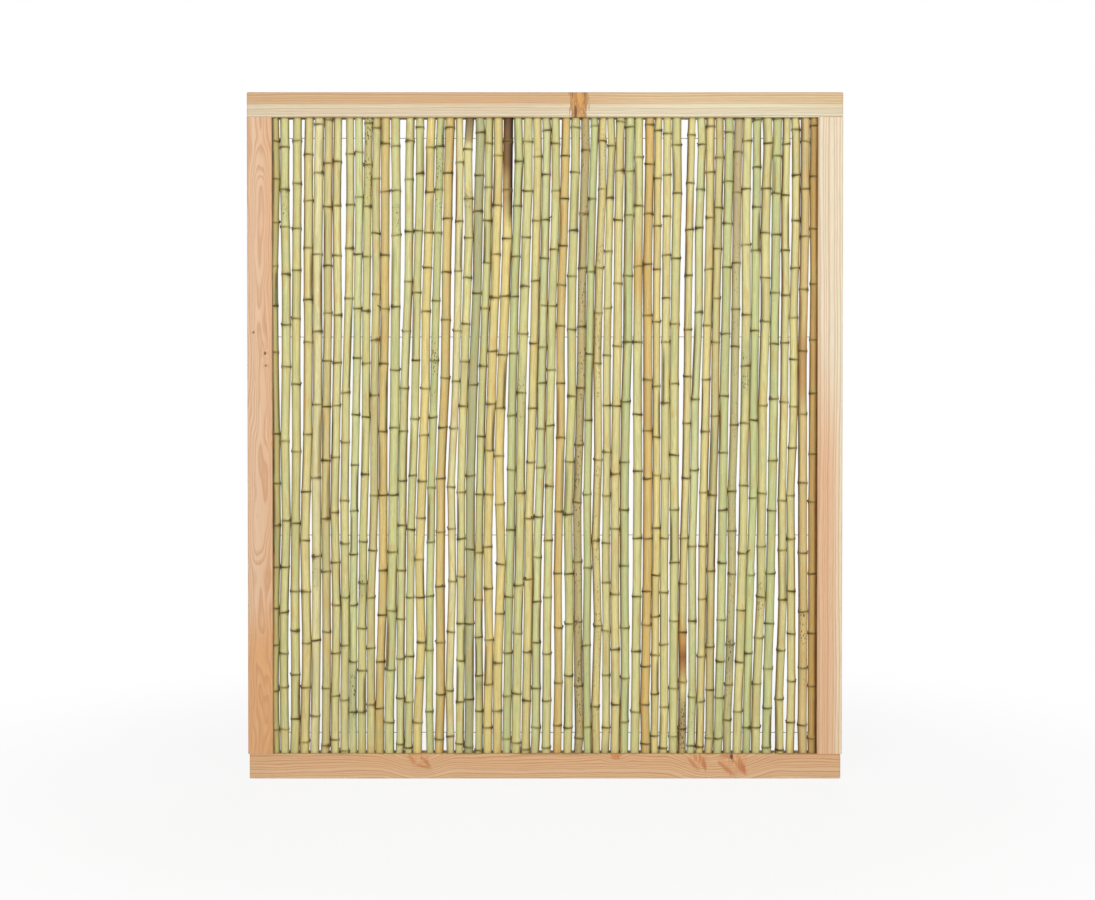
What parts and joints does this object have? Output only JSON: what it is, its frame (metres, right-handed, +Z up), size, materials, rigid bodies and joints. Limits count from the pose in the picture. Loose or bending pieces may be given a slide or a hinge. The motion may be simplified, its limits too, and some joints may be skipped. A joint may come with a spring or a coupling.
{
  "type": "bamboo fence panel",
  "caption": "Upright fence panel: natural bamboo canes threaded on galvanised wires and held in a grooved softwood frame",
  "frame": {"origin": "middle of the underside of the bottom rail", "axes": "+X along the panel to the viewer's right, +Y through the panel away from the front, +Z up"},
  "size_m": [1.56, 0.05, 1.8],
  "materials": {
    "timber": "planed, unfinished softwood",
    "bamboo": "natural satin cane skin",
    "wire": "galvanised",
    "nail_steel": "galvanised"
  },
  "bodies": {
    "root": {"top_rail": "timber", "bottom_rail": "timber", "left_stile": "timber", "right_stile": "timber", "canes_01": "bamboo", "canes_02": "bamboo", "canes_03": "bamboo", "canes_04": "bamboo", "canes_05": "bamboo", "canes_06": "bamboo", "canes_07": "bamboo", "canes_08": "bamboo", "canes_09": "bamboo", "canes_10": "bamboo", "canes_11": "bamboo", "canes_12": "bamboo", "canes_13": "bamboo", "canes_14": "bamboo", "canes_15": "bamboo", "canes_16": "bamboo", "canes_17": "bamboo", "canes_18": "bamboo", "canes_19": "bamboo", "canes_20": "bamboo", "canes_21": "bamboo", "canes_22": "bamboo", "canes_23": "bamboo", "canes_24": "bamboo", "canes_25": "bamboo", "canes_26": "bamboo", "canes_27": "bamboo", "canes_28": "bamboo", "wire_1": "wire", "wire_2": "wire", "wire_3": "wire", "wire_4": "wire", "corner_nails": "nail_steel"}
  },
  "joints": []
}
